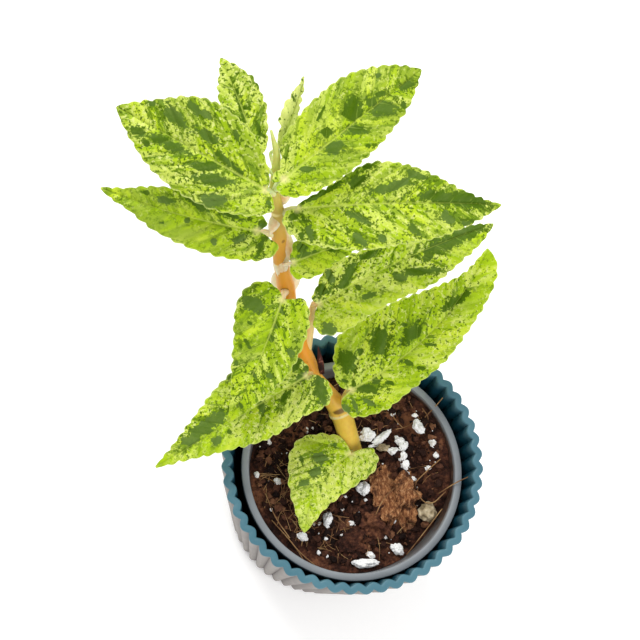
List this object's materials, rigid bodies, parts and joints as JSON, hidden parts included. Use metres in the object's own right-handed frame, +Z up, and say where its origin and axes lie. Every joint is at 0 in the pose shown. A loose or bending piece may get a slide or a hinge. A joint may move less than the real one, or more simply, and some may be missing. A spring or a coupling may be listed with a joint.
{
  "type": "potted plant",
  "caption": "Variegated pellionia: a leaning fleshy stem with toothed, mottled leaves, in a nursery pot of soil inside a fluted cachepot.",
  "frame": {"origin": "centre of the cachepot's flat foot, on the surface that it stands on", "axes": "+Z up along the pot's axis; +X and +Y lie in the standing surface, with the stem leaning towards -X and +Y"},
  "size_m": [0.1159, 0.1317, 0.1414],
  "materials": {
    "teal_plastic": "satin",
    "grey_plastic": "satin",
    "peat": "matte",
    "stem_flesh": "satin",
    "leaf_green": "satin",
    "withered_brown": "matte"
  },
  "bodies": {
    "root": {"cachepot": "teal_plastic", "nursery_pot": "grey_plastic", "soil": "peat", "stem": "stem_flesh", "leaf_soil": "leaf_green", "leaf_low_left": "leaf_green", "leaf_front": "leaf_green", "leaf_low_right": "leaf_green", "leaf_mid_right": "leaf_green", "leaf_long_right": "leaf_green", "leaf_hidden_right": "leaf_green", "leaf_mid_left": "leaf_green", "leaf_top_left": "leaf_green", "leaf_top_right": "leaf_green", "leaf_young_left": "leaf_green", "leaf_folded": "leaf_green", "dry_stipule": "withered_brown"}
  },
  "joints": []
}
